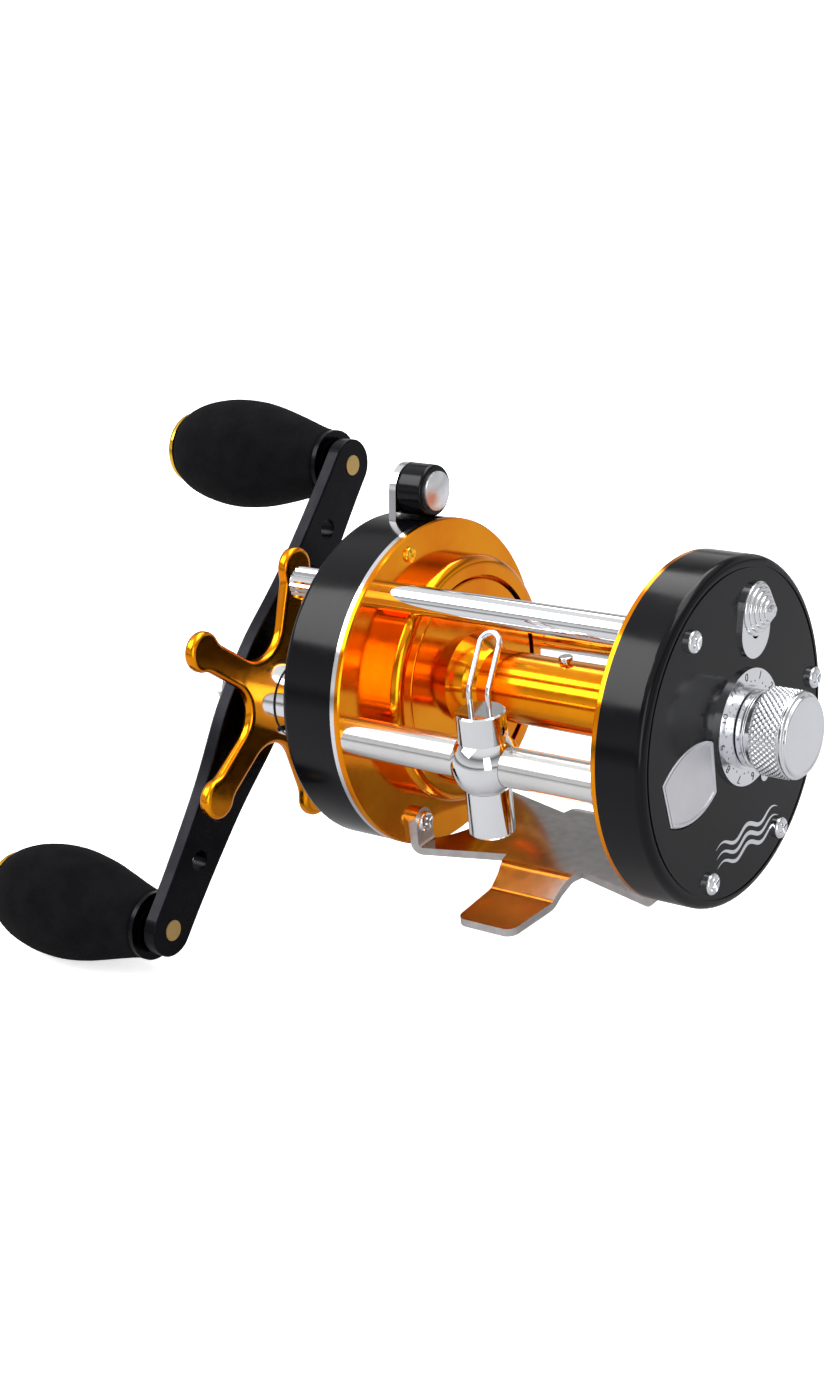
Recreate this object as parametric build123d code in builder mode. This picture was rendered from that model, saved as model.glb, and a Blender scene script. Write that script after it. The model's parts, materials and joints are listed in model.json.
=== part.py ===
"""Round level-wind trolling reel with a star drag and a double power handle.

Frame: X runs along the spool axis from the handle (-X) to the tail plate (+X), Y points back
towards the angler, Z is up. The origin is on the rod, under the middle of the foot. Millimetres.
"""
import os
from math import acos, atan2, cos, degrees, hypot, pi, radians, sin, sqrt, tan

from build123d import *

os.makedirs("parts", exist_ok=True)

# ---------------------------------------------------------------- driving dimensions
PLATE_GAP = 50.6        # between the inner faces of the two side plates
PLATE_R = 29.5
PLATE_T = 1.0
AXIS_Z = 31.0           # height of the side plates' centre above the rod
RIM_WALL = 1.0          # wall of the covers round their rims
FACE_WALL = 1.5         # wall of the covers' outer faces
GROOVE_R = 27.9         # outside of the fine groove round the tail cover's face
GROOVE_WIDTH = 0.5
GROOVE_DEPTH = 0.2

HANDLE_COVER = (1.85, 12.86)    # from the handle-side plate's inner face, outwards
TAIL_COVER = (1.0, 9.56)        # from the tail-side plate's inner face, outwards

DRIVE_MODULE = 0.5
DRIVE_TEETH = 47
PINION_TEETH = 10
WIND_MODULE = 0.4
WIND_DRIVE_TEETH = 20
IDLER_TEETH = 24
WORM_TEETH = 10
PROFILE_SHIFT = 0.4     # long-addendum correction of the small pinions
BACKLASH = 0.06         # taken off each tooth's thickness
PRESSURE_ANGLE = radians(20)

HANDLE_OFFSET = (-10.9, -2.8)   # handle axis from the side plates' centre
WIND_REACH = 15.25              # handle axis to the level-wind worm's axis

SHAFT_R = 1.5           # spool shaft
PINION_SHAFT_R = 1.2    # its thin end, inside the pinion
RUNNING = 0.05          # radial clearance of a running fit

TUBE_R = 3.4
TUBE_BORE_R = 2.6
PILLAR_R = 2.6
PILLAR_FRONT = (23.8, 120)      # radius and angle from +Y towards +Z
PILLAR_REAR = (26.0, 0)
LUG_SCREWS = ((25.0, -117.5), (25.0, -62.5))
TAIL_SCREWS = (PILLAR_FRONT, PILLAR_REAR) + LUG_SCREWS
SCREW_R = 1.0           # shank of the pan-head body screws
SCREW_LENGTH = 3.8      # under their heads
TAKEDOWN_SCREWS = (PILLAR_FRONT, PILLAR_REAR, (25.0, -90))
PLATE_SCREWS = ((26.3, 101), (26.3, -38))

SPOOL_R = 18.3
ARBOR_R = 6.3
SPOOL_RIM = (20.6, 21.8)        # inner and outer face of each spool rim, from the middle
RING_H = 5.0                    # raised ring round each spool rim
RING_R = 22.4
RING_BORE_R = 18.9

BUTTON_POLAR = (34.4, 80)
BUTTON_TRAVEL = 1.3
CLICKER_ANGLE = 75.2
CLICKER_REACH = 19.65           # from the spool axis at rest
CLICKER_TRAVEL = 3.6

HANDLE_ANGLE = 45.8             # of the handle arm, from +Y towards +Z
HANDLE_HALF = 47.0              # handle axis to a knob axis
ARM = (33.0, 36.2)              # faces of the handle arm, out from the handle-side plate
KNOB_END = 74.4
SPINDLE_R = 1.9         # riveted end of a knob's spindle, in the arm

FOOT_T = 1.4                    # sheet that the foot is pressed from
FOOT_HALF_LENGTH = 28.0
FOOT_TOP_Z = 4.4                # top of the foot's bridge
BRIDGE_HALF_DEPTH = 9.2         # plan, from the middle to where a tongue leaves the bridge
TONGUE_HALF_WIDTHS = (7.9, 6.6, 5.7)    # at its root, past the bend and at its tip
LUG_R = 2.5

GUIDE_X = 2.5                   # where the line guide stands at rest

# ---------------------------------------------------------------- worked-out places
HALF_GAP = PLATE_GAP / 2
DRIVE_REACH = DRIVE_MODULE * (DRIVE_TEETH + PINION_TEETH) / 2
HANDLE = (HANDLE_OFFSET[0], AXIS_Z + HANDLE_OFFSET[1])
SPOOL = (HANDLE[0] + sqrt(DRIVE_REACH**2 - HANDLE_OFFSET[1] ** 2), AXIS_Z)
TUBE = (HANDLE[0] - sqrt(WIND_REACH**2 - HANDLE_OFFSET[1] ** 2), AXIS_Z)
PLATE = (0.0, AXIS_Z)


def handle_side(distance):
    """X station this far out from the handle-side plate's inner face."""
    return -HALF_GAP - distance


def tail_side(distance):
    """X station this far out from the tail-side plate's inner face."""
    return HALF_GAP + distance


def polar(radius, angle, centre=PLATE):
    """(y, z) of a point at a radius and an angle in degrees from +Y towards +Z."""
    return (centre[0] + radius * cos(radians(angle)), centre[1] + radius * sin(radians(angle)))


def disc(x0, x1, radius, centre=PLATE, mode=Mode.ADD):
    """Round disc along X between two stations; Mode.SUBTRACT makes it a bore."""
    with Locations((min(x0, x1), *centre)):
        Cylinder(
            radius,
            abs(x1 - x0),
            rotation=(0, 90, 0),
            align=(Align.CENTER, Align.CENTER, Align.MIN),
            mode=mode,
        )


def bore(x0, x1, radius, centre=PLATE):
    disc(x0, x1, radius, centre, Mode.SUBTRACT)


def washer(x0, x1, outer, inner, centre):
    """Solid ring along X, as an object of its own."""
    with BuildPart() as ring:
        disc(x0, x1, outer, centre)
        bore(x0, x1, inner, centre)
    return ring.part


def turning_axis(centre):
    return Axis((0, *centre), (1, 0, 0))


def profile_plane(centre):
    """Plane for a turned profile: local x is X, local y is the radius."""
    return Plane(origin=(0, *centre), x_dir=(1, 0, 0), z_dir=(0, -1, 0))


def involute(angle):
    return tan(angle) - angle


def gear_points(teeth, module, centre, phase, shift=0.0):
    """Outline of a spur gear, one tooth centred on the phase angle (degrees)."""
    pitch_r = module * teeth / 2
    base_r = pitch_r * cos(PRESSURE_ANGLE)
    tip_r = pitch_r + module * (1 + shift) * 0.93
    root_r = pitch_r - module * (1.25 - shift)
    thickness = module * (pi / 2 + 2 * shift * tan(PRESSURE_ANGLE)) - BACKLASH
    half_base = thickness / (2 * pitch_r) + involute(PRESSURE_ANGLE)
    lowest = max(root_r, base_r)
    flank = [lowest + (tip_r - lowest) * step / 4 for step in range(5)]
    half_angles = [half_base - involute(acos(min(1.0, base_r / r))) for r in flank]
    points = []
    for tooth in range(teeth):
        middle = radians(phase) + 2 * pi * tooth / teeth
        rising = [(root_r, -half_angles[0] * 1.02)]
        rising += [(r, -half) for r, half in zip(flank, half_angles) if r > root_r]
        falling = [(r, -angle) for r, angle in reversed(rising)]
        for r, angle in rising + falling:
            points.append((centre[0] + r * cos(middle + angle), centre[1] + r * sin(middle + angle)))
    return points


def mesh_phase(teeth, phase, driver_centre, driven_teeth, driven_centre):
    """Phase of a driven gear whose gap meets the driver's tooth on the line of centres."""
    towards = degrees(
        atan2(driven_centre[1] - driver_centre[1], driven_centre[0] - driver_centre[0])
    )
    lag = (towards - phase) % (360 / teeth)
    return towards + 180 + 180 / driven_teeth + lag * teeth / driven_teeth


def ball_bearing(x0, x1, centre, radii, balls):
    """Ball bearing as separate races and balls; radii are bore, inner race, outer race, outside."""
    bore_r, inner_r, outer_r, outside_r = radii
    ball_r = (outer_r - inner_r) / 2 - 0.02
    pitch_r = (outer_r + inner_r) / 2
    with BuildPart() as bearing:
        disc(x0, x1, outside_r, centre)
        bore(x0, x1, outer_r, centre)
        disc(x0, x1, inner_r, centre)
        bore(x0, x1, bore_r, centre)
        with Locations([((x0 + x1) / 2, *polar(pitch_r, 360 * n / balls, centre)) for n in range(balls)]):
            Sphere(ball_r)
    return bearing.part


def ridged_points(radius, depth, ridges, centre):
    """Outline of a straight-knurled head."""
    points = []
    for index in range(2 * ridges):
        r = radius if index % 2 else radius - depth
        points.append(polar(r, 180 * index / ridges, centre))
    return points


def save(built, name):
    built.part.label = name
    export_step(built.part, f"parts/{name}.step")


# ---------------------------------------------------------------- side plates and covers
def spool_boss(side):
    """Boss round the spool bearing on the outer face of a side plate."""
    disc(side(PLATE_T), side(3.3), 6.2, SPOOL)


def clear_ring(side):
    """Opens the spool's well and clears the rear pillar and the foot's lugs from the raised ring."""
    bore(side(-RING_H), side(0), RING_BORE_R, SPOOL)
    bore(side(-RING_H), side(0), PILLAR_R, polar(*PILLAR_REAR))
    for place in LUG_SCREWS:
        bore(side(-RING_H), side(0), LUG_R + 0.1, polar(*place))


with BuildPart() as handle_side_plate:
    disc(handle_side(0), handle_side(PLATE_T), PLATE_R)
    chamfer(handle_side_plate.edges().filter_by(GeomType.CIRCLE).sort_by(Axis.X)[-1], 0.25)
    disc(handle_side(0), handle_side(-RING_H), RING_R, SPOOL)
    fillet(handle_side_plate.edges().filter_by(GeomType.CIRCLE).sort_by(Axis.X)[-1], 1.8)
    clear_ring(handle_side)
    spool_boss(handle_side)
    disc(handle_side(PLATE_T), handle_side(3.5), 5.4, HANDLE)
    bore(handle_side(0), handle_side(2.9), 5.0, SPOOL)
    bore(handle_side(0), handle_side(3.3), 4.2, SPOOL)
    bore(handle_side(PLATE_T), handle_side(3.5), 4.0, HANDLE)
    disc(handle_side(PLATE_T), handle_side(3.4), 2.6, polar(*TAKEDOWN_SCREWS[2]))
    bore(handle_side(0), handle_side(PLATE_T), 1.6, TUBE)
    for place in TAKEDOWN_SCREWS[:2]:
        bore(handle_side(0), handle_side(PLATE_T), 1.6, polar(*place))
    bore(handle_side(PLATE_T - 0.4), handle_side(3.4), 1.4, polar(*TAKEDOWN_SCREWS[2]))
    for place in LUG_SCREWS:
        disc(handle_side(PLATE_T), handle_side(3.2), 2.2, polar(*place))
        bore(handle_side(0), handle_side(2.6), SCREW_R, polar(*place))
    for place in PLATE_SCREWS:
        bore(handle_side(0), handle_side(PLATE_T), 0.8, polar(*place))
save(handle_side_plate, "handle_side_plate")

with BuildPart() as tail_side_plate:
    disc(tail_side(0), tail_side(PLATE_T), PLATE_R)
    chamfer(tail_side_plate.edges().filter_by(GeomType.CIRCLE).sort_by(Axis.X)[0], 0.25)
    disc(tail_side(0), tail_side(-RING_H), RING_R, SPOOL)
    fillet(tail_side_plate.edges().filter_by(GeomType.CIRCLE).sort_by(Axis.X)[0], 1.8)
    clear_ring(tail_side)
    spool_boss(tail_side)
    bore(tail_side(0), tail_side(2.9), 5.0, SPOOL)
    bore(tail_side(0), tail_side(3.3), 4.2, SPOOL)
    for place in TAIL_SCREWS:
        disc(tail_side(PLATE_T), tail_side(7.6), 2.2, polar(*place))
        bore(tail_side(3.6), tail_side(7.6), SCREW_R, polar(*place))
    for place in LUG_SCREWS:
        bore(tail_side(0), tail_side(2.6), SCREW_R, polar(*place))
save(tail_side_plate, "tail_side_plate")

with BuildPart() as trim_ring:
    disc(handle_side(PLATE_T), handle_side(HANDLE_COVER[0]), PLATE_R)
    bore(handle_side(PLATE_T), handle_side(HANDLE_COVER[0]), PLATE_R - RIM_WALL - 0.1)
    disc(
        handle_side(PLATE_T),
        handle_side(HANDLE_COVER[0]),
        5.0,
        polar(BUTTON_POLAR[0] - BUTTON_TRAVEL - 0.2, BUTTON_POLAR[1]),
        Mode.SUBTRACT,
    )
save(trim_ring, "trim_ring")

BUTTON_X = (handle_side(1.3), handle_side(6.7))     # inner and outer end of the button
LEVER_X = (handle_side(6.7), handle_side(8.2))

with BuildPart() as handle_side_cover:
    disc(handle_side(HANDLE_COVER[0]), handle_side(HANDLE_COVER[1]), PLATE_R - 0.1)
    fillet(handle_side_cover.edges().filter_by(GeomType.CIRCLE).sort_by(Axis.X)[0], 1.2)
    bore(handle_side(HANDLE_COVER[0]), handle_side(HANDLE_COVER[1] - FACE_WALL), PLATE_R - RIM_WALL)
    for place in PLATE_SCREWS:
        disc(handle_side(PLATE_T), handle_side(HANDLE_COVER[1] - FACE_WALL), 2.0, polar(*place))
        bore(handle_side(PLATE_T), handle_side(5.0), 0.8, polar(*place))
    for place in TAKEDOWN_SCREWS:
        bore(handle_side(11.0), handle_side(HANDLE_COVER[1]), 1.6, polar(*place))
    bore(handle_side(11.0), handle_side(HANDLE_COVER[1]), 4.3, HANDLE)
    bore(handle_side(11.0), handle_side(11.9), PINION_SHAFT_R + RUNNING, SPOOL)
    disc(
        handle_side(HANDLE_COVER[0]),
        BUTTON_X[1] - 0.2,
        5.0,
        polar(BUTTON_POLAR[0] - BUTTON_TRAVEL - 0.2, BUTTON_POLAR[1]),
        Mode.SUBTRACT,
    )
    with Locations(
        Location(
            ((LEVER_X[0] + LEVER_X[1]) / 2, *polar(PLATE_R, BUTTON_POLAR[1])),
            (BUTTON_POLAR[1] - 90, 0, 0),
        )
    ):
        Box(1.7, 9.6, 4.0, mode=Mode.SUBTRACT)
save(handle_side_cover, "handle_side_cover")

TAIL_FACE = tail_side(TAIL_COVER[1])
CLICKER_ENDS = (CLICKER_REACH - CLICKER_TRAVEL, CLICKER_REACH)


def clicker_slot(x0, x1, radius, mode):
    """Stadium along the clicker's line of travel."""
    for reach in CLICKER_ENDS:
        disc(x0, x1, radius, polar(reach, CLICKER_ANGLE, SPOOL), mode)
    middle = polar(sum(CLICKER_ENDS) / 2, CLICKER_ANGLE, SPOOL)
    with Locations(Location(((x0 + x1) / 2, *middle), (CLICKER_ANGLE, 0, 0))):
        Box(abs(x1 - x0), CLICKER_TRAVEL, 2 * radius, mode=mode)


BADGE = ((-23.4, 0.4), (-17.0, 3.1), (-7.8, 1.8), (-7.8, -7.2), (-14.4, -9.3), (-21.9, -7.5))


def badge_face(grow=0.0):
    """Shield outline of the badge, arcs above and below; grow widens it all round."""
    left, upper, right, low_right, lower, low_left = [(y, AXIS_Z + z) for y, z in BADGE]
    with BuildLine() as outline:
        ThreePointArc(left, upper, right)
        Line(right, low_right)
        ThreePointArc(low_right, lower, low_left)
        Line(low_left, left)
    face = make_face(outline.edges(), mode=Mode.PRIVATE)
    return offset(face, amount=grow, mode=Mode.PRIVATE) if grow else face


with BuildPart() as tail_side_cover:
    disc(tail_side(TAIL_COVER[0]), TAIL_FACE, PLATE_R)
    fillet(tail_side_cover.edges().filter_by(GeomType.CIRCLE).sort_by(Axis.X)[-1], 1.4)
    bore(tail_side(TAIL_COVER[0]), tail_side(TAIL_COVER[1] - FACE_WALL), PLATE_R - RIM_WALL)
    disc(tail_side(8.0), tail_side(13.0), 5.6, SPOOL)
    bore(tail_side(8.0), tail_side(13.0), SHAFT_R + 0.3, SPOOL)
    groove = washer(TAIL_FACE - GROOVE_DEPTH, TAIL_FACE, GROOVE_R, GROOVE_R - GROOVE_WIDTH, PLATE)
    add(groove, mode=Mode.SUBTRACT)
    for place in TAIL_SCREWS:
        bore(tail_side(8.0), TAIL_FACE, 1.1, polar(*place))
    clicker_slot(tail_side(8.0), TAIL_FACE, 1.4, Mode.SUBTRACT)
    with BuildSketch(Plane.YZ.offset(TAIL_FACE)):
        add(badge_face(0.25))
    extrude(amount=-0.5, mode=Mode.SUBTRACT)
save(tail_side_cover, "tail_side_cover")

with BuildPart() as badge_plate:
    with BuildSketch(Plane.YZ.offset(TAIL_FACE - 0.5)):
        add(badge_face())
    extrude(amount=0.7)
    chamfer(badge_plate.faces().sort_by(Axis.X)[-1].edges(), 0.2)
save(badge_plate, "badge_plate")

with BuildPart() as bearing_housing:
    disc(handle_side(HANDLE_COVER[1]), handle_side(24.3), 7.15, HANDLE)
    bore(handle_side(HANDLE_COVER[1]), handle_side(23.3), 6.0, HANDLE)
    bore(handle_side(23.3), handle_side(24.3), 4.3, HANDLE)
save(bearing_housing, "bearing_housing")

# ---------------------------------------------------------------- pillars, tube and screws
with BuildPart() as pillars:
    for place in (PILLAR_FRONT, PILLAR_REAR):
        disc(handle_side(0), tail_side(0), PILLAR_R, polar(*place))
        bore(handle_side(0), handle_side(-6), 1.4, polar(*place))
save(pillars, "pillars")

with BuildPart() as level_wind_tube:
    disc(handle_side(0), tail_side(0), TUBE_R, TUBE)
    bore(handle_side(0), tail_side(0), TUBE_BORE_R, TUBE)
    with Locations((0, TUBE[0], TUBE[1] - TUBE_R)):
        Box(43.4, 2.4, 3.0, mode=Mode.SUBTRACT)
save(level_wind_tube, "level_wind_tube")

with BuildPart() as takedown_screws:
    for place in TAKEDOWN_SCREWS:
        with BuildSketch(Plane.YZ.offset(handle_side(20.0))):
            with BuildLine():
                Polyline(*ridged_points(2.9, 0.28, 20, polar(*place)), close=True)
            make_face()
    extrude(amount=6.6)
    for place in TAKEDOWN_SCREWS:
        disc(handle_side(13.4), handle_side(HANDLE_COVER[1]), 2.3, polar(*place))
        disc(handle_side(20.0), handle_side(20.4), 2.3, polar(*place))
    for place in TAKEDOWN_SCREWS[:2]:
        disc(handle_side(HANDLE_COVER[1]), handle_side(-5.5), 1.4, polar(*place))
    disc(handle_side(HANDLE_COVER[1]), handle_side(1.0), 1.4, polar(*TAKEDOWN_SCREWS[2]))
save(takedown_screws, "takedown_screws")


def pan_head_screw(x_face, out, head_r, head_h, shank_r, shank, centre):
    """Pan-head cross-recess screw whose head stands out of x_face along out (+1 or -1)."""
    with BuildPart() as screw:
        Cylinder(head_r, head_h, align=(Align.CENTER, Align.CENTER, Align.MIN))
        fillet(screw.edges().group_by(Axis.Z)[-1], 0.6 * head_h)
        with Locations((0, 0, head_h)):
            Box(1.5 * head_r, 0.45, head_h, mode=Mode.SUBTRACT)
            Box(0.45, 1.5 * head_r, head_h, mode=Mode.SUBTRACT)
        Cylinder(shank_r, shank, align=(Align.CENTER, Align.CENTER, Align.MAX))
    return Pos(x_face, *centre) * Rot(0, 90 * out, 0) * Rot(0, 0, 20) * screw.part


with BuildPart() as body_screws:
    for place in TAIL_SCREWS:
        add(pan_head_screw(TAIL_FACE, 1, 1.9, 1.1, SCREW_R, SCREW_LENGTH, polar(*place)))
    for place in LUG_SCREWS:
        add(pan_head_screw(handle_side(-FOOT_T), 1, 1.9, 1.1, SCREW_R, SCREW_LENGTH, polar(*place)))
        add(pan_head_screw(tail_side(-FOOT_T), -1, 1.9, 1.1, SCREW_R, SCREW_LENGTH, polar(*place)))
save(body_screws, "body_screws")

with BuildPart() as plate_screws:
    for place in PLATE_SCREWS:
        add(pan_head_screw(handle_side(0), 1, 1.4, 0.6, 0.8, 4.5, polar(*place)))
save(plate_screws, "plate_screws")

# ---------------------------------------------------------------- foot
LUG_Y = -polar(*LUG_SCREWS[0])[0]
LUG_Z = polar(*LUG_SCREWS[0])[1]
SHEET_MIDDLE = FOOT_TOP_Z - FOOT_T / 2


def bridge_quarter():
    """Quarter of the bridge in plan, from its middle to one arm's lug."""
    with BuildLine() as quarter:
        Polyline((0, 0), (19.2, 0))
        ThreePointArc((19.2, 0), (20.6, 4.6), (23.4, LUG_Y - LUG_R))
        Polyline(
            (23.4, LUG_Y - LUG_R), (HALF_GAP, LUG_Y - LUG_R), (HALF_GAP, LUG_Y + LUG_R),
            (TONGUE_HALF_WIDTHS[0], BRIDGE_HALF_DEPTH), (0, BRIDGE_HALF_DEPTH), (0, 0),
        )
    return make_face(quarter.edges(), mode=Mode.PRIVATE)


with BuildPart() as foot_tongues:
    with BuildSketch(Plane.YZ.offset(-TONGUE_HALF_WIDTHS[0])):
        with BuildLine():
            FilletPolyline(
                (-FOOT_HALF_LENGTH, FOOT_T / 2), (-16.5, FOOT_T / 2), (-11.5, SHEET_MIDDLE),
                (11.5, SHEET_MIDDLE), (16.5, FOOT_T / 2), (FOOT_HALF_LENGTH, FOOT_T / 2),
                radius=3.0,
            )
            offset(amount=FOOT_T / 2, side=Side.BOTH)
        make_face()
    extrude(amount=2 * TONGUE_HALF_WIDTHS[0])
    with BuildSketch(Plane.XY) as tongue_plan:
        root, middle, tip = TONGUE_HALF_WIDTHS
        with BuildLine():
            Polyline(
                (0, -FOOT_HALF_LENGTH), (tip, -FOOT_HALF_LENGTH), (middle, -14), (root, -BRIDGE_HALF_DEPTH),
                (root, BRIDGE_HALF_DEPTH), (middle, 14), (tip, FOOT_HALF_LENGTH), (0, FOOT_HALF_LENGTH),
            )
            mirror(about=Plane.YZ)
        make_face()
        fillet(tongue_plan.vertices().group_by(Axis.Y)[0] + tongue_plan.vertices().group_by(Axis.Y)[-1], 2.0)
    extrude(amount=FOOT_TOP_Z, mode=Mode.INTERSECT)

with BuildPart() as foot:
    # bridge: a U of sheet bent up at both plates
    with BuildSketch(Plane.XZ.offset(-LUG_Y - LUG_R)):
        with BuildLine():
            FilletPolyline(
                (-HALF_GAP + FOOT_T / 2, LUG_Z + LUG_R), (-HALF_GAP + FOOT_T / 2, SHEET_MIDDLE),
                (HALF_GAP - FOOT_T / 2, SHEET_MIDDLE), (HALF_GAP - FOOT_T / 2, LUG_Z + LUG_R),
                radius=1.4,
            )
            offset(amount=FOOT_T / 2, side=Side.BOTH)
        make_face()
    extrude(amount=2 * (LUG_Y + LUG_R))
    with BuildSketch(Plane.XY):
        for turned in (bridge_quarter(), bridge_quarter().mirror(Plane.YZ)):
            add(turned)
            add(turned.mirror(Plane.XZ))
    extrude(amount=LUG_Z + LUG_R, mode=Mode.INTERSECT)
    # lugs: rounded ears round the screws
    with BuildSketch(Plane.YZ.offset(-HALF_GAP)):
        with Locations((-LUG_Y, LUG_Z), (LUG_Y, LUG_Z)):
            Circle(LUG_R)
        with Locations((-LUG_Y, LUG_Z / 2), (LUG_Y, LUG_Z / 2)):
            Rectangle(2 * LUG_R, LUG_Z)
        Rectangle(2 * (LUG_Y + LUG_R), 2 * FOOT_TOP_Z)
    extrude(amount=PLATE_GAP, mode=Mode.INTERSECT)
    for y in (-LUG_Y, LUG_Y):
        bore(-HALF_GAP, HALF_GAP, SCREW_R + RUNNING, (y, LUG_Z))
    add(foot_tongues.part)
save(foot, "foot")

# ---------------------------------------------------------------- spool and what turns with it
with BuildPart() as spool:
    inner, outer = SPOOL_RIM
    with BuildSketch(profile_plane(SPOOL)):
        with BuildLine():
            Polyline(
                (0, SHAFT_R), (-24.9, SHAFT_R), (-24.9, 2.6), (-outer, 2.6), (-outer, SPOOL_R),
                (-inner, SPOOL_R), (-inner, 8.4), (-17.6, 7.6),
            )
            ThreePointArc((-17.6, 7.6), (-16.4, 6.7), (-15.4, ARBOR_R))
            Line((-15.4, ARBOR_R), (0, ARBOR_R))
            Line((0, ARBOR_R), (0, SHAFT_R))
        make_face()
        mirror(about=Plane.YZ)
    revolve(axis=turning_axis(SPOOL))
    rims = spool.edges().filter_by(GeomType.CIRCLE).filter_by(lambda e: abs(e.radius - SPOOL_R) < 0.01)
    fillet(rims, 0.4)
    with Locations((0, SPOOL[0], SPOOL[1] + ARBOR_R)):
        Cylinder(0.8, 3.0, mode=Mode.SUBTRACT)
save(spool, "spool")

with BuildPart() as line_pin:
    with Locations((0, SPOOL[0], SPOOL[1] + ARBOR_R)):
        Cylinder(0.8, 1.5, align=(Align.CENTER, Align.CENTER, Align.MAX))
        Cylinder(0.8, 0.5, align=(Align.CENTER, Align.CENTER, Align.MIN))
    with Locations((0, SPOOL[0], SPOOL[1] + ARBOR_R + 0.5)):
        Cylinder(1.3, 0.7, align=(Align.CENTER, Align.CENTER, Align.MIN))
    fillet(line_pin.edges().group_by(Axis.Z)[-1], 0.3)
save(line_pin, "line_pin")

DRIVE_PIN_X = handle_side(3.9)
with BuildPart() as spool_shaft:
    disc(handle_side(3.3), tail_side(14.6), SHAFT_R, SPOOL)
    disc(handle_side(3.3), handle_side(11.7), PINION_SHAFT_R, SPOOL)
    with Locations((DRIVE_PIN_X, *SPOOL)):
        Cylinder(0.35, 10, mode=Mode.SUBTRACT)
    chamfer(spool_shaft.edges().group_by(Axis.X)[-1], 0.4)
save(spool_shaft, "spool_shaft")

with BuildPart() as spool_drive_pin:
    with Locations((DRIVE_PIN_X, *SPOOL)):
        Cylinder(0.35, 5.0)
save(spool_drive_pin, "spool_drive_pin")

with BuildPart() as brake_blocks:
    for side in (-1, 1):
        with Locations((SPOOL_RIM[1] + 1.0, SPOOL[0] + side * 10.0, SPOOL[1])):
            Box(2.0, 3.2, 4.0)
    fillet(brake_blocks.edges().filter_by(Axis.X), 0.5)
save(brake_blocks, "brake_blocks")

with BuildPart() as brake_drum:
    disc(tail_side(-2.6), tail_side(0), 13.2, SPOOL)
    bore(tail_side(-2.6), tail_side(0), 12.2, SPOOL)
save(brake_drum, "brake_drum")

with BuildPart() as click_gear:
    with BuildSketch(Plane.YZ.offset(tail_side(4.2))):
        with BuildLine():
            Polyline(*ridged_points(4.6, 0.9, 16, SPOOL), close=True)
        make_face()
    extrude(amount=1.4)
    bore(tail_side(4.2), tail_side(5.6), SHAFT_R, SPOOL)
save(click_gear, "click_gear")

with BuildPart() as spool_bearings:
    for x0, x1 in ((handle_side(2.9), handle_side(0.1)), (tail_side(0.1), tail_side(2.9))):
        add(ball_bearing(x0, x1, SPOOL, (SHAFT_R + 0.03, 2.4, 4.1, 5.0), 7))
save(spool_bearings, "spool_bearings")

# ---------------------------------------------------------------- gear train
DRIVE_PHASE = 0.0
PINION_PHASE = mesh_phase(DRIVE_TEETH, DRIVE_PHASE, HANDLE, PINION_TEETH, SPOOL)
IDLER_REACH = WIND_MODULE * (WIND_DRIVE_TEETH + IDLER_TEETH) / 2
IDLER_TO_WORM = WIND_MODULE * (IDLER_TEETH + WORM_TEETH) / 2
TO_WORM = atan2(TUBE[1] - HANDLE[1], TUBE[0] - HANDLE[0])
IDLER_TURN = acos((IDLER_REACH**2 + WIND_REACH**2 - IDLER_TO_WORM**2) / (2 * IDLER_REACH * WIND_REACH))
IDLER = polar(IDLER_REACH, degrees(TO_WORM + IDLER_TURN), HANDLE)
IDLER_PHASE = mesh_phase(WIND_DRIVE_TEETH, 0.0, HANDLE, IDLER_TEETH, IDLER)
WORM_PHASE = mesh_phase(IDLER_TEETH, IDLER_PHASE, IDLER, WORM_TEETH, TUBE)
WIND_GEARS = (handle_side(5.7), 1.8)        # outer face and width of the level-wind gears
DRIVE_FACE = (handle_side(9.2), 2.4)        # outer face and width of the drive gear

with BuildPart() as drive_gear:
    with BuildSketch(Plane.YZ.offset(DRIVE_FACE[0])):
        with BuildLine():
            points = gear_points(DRIVE_TEETH, DRIVE_MODULE, HANDLE, DRIVE_PHASE, -PROFILE_SHIFT)
            Polyline(*points, close=True)
        make_face()
    extrude(amount=DRIVE_FACE[1])
    bore(handle_side(7.6), handle_side(9.2), 9.6, HANDLE)
    bore(handle_side(6.8), handle_side(9.2), 2.5, HANDLE)
save(drive_gear, "drive_gear")

with BuildPart() as pinion_gear:
    with BuildSketch(Plane.YZ.offset(handle_side(9.3))):
        with BuildLine():
            points = gear_points(PINION_TEETH, DRIVE_MODULE, SPOOL, PINION_PHASE, PROFILE_SHIFT)
            Polyline(*points, close=True)
        make_face()
    extrude(amount=3.3)
    disc(handle_side(6.0), handle_side(4.9), 2.0, SPOOL)
    disc(handle_side(4.9), handle_side(3.6), 3.1, SPOOL)
    bore(handle_side(9.3), handle_side(3.6), PINION_SHAFT_R + RUNNING, SPOOL)
    with Locations((handle_side(3.6), *SPOOL)):
        Box(1.6, 0.86, 7.0, mode=Mode.SUBTRACT)
save(pinion_gear, "pinion_gear")

with BuildPart() as level_wind_drive_gear:
    with BuildSketch(Plane.YZ.offset(WIND_GEARS[0])):
        with BuildLine():
            points = gear_points(WIND_DRIVE_TEETH, WIND_MODULE, HANDLE, 0.0)
            Polyline(*points, close=True)
        make_face()
    extrude(amount=WIND_GEARS[1])
    bore(handle_side(3.9), handle_side(5.7), 2.5, HANDLE)
save(level_wind_drive_gear, "level_wind_drive_gear")

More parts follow.
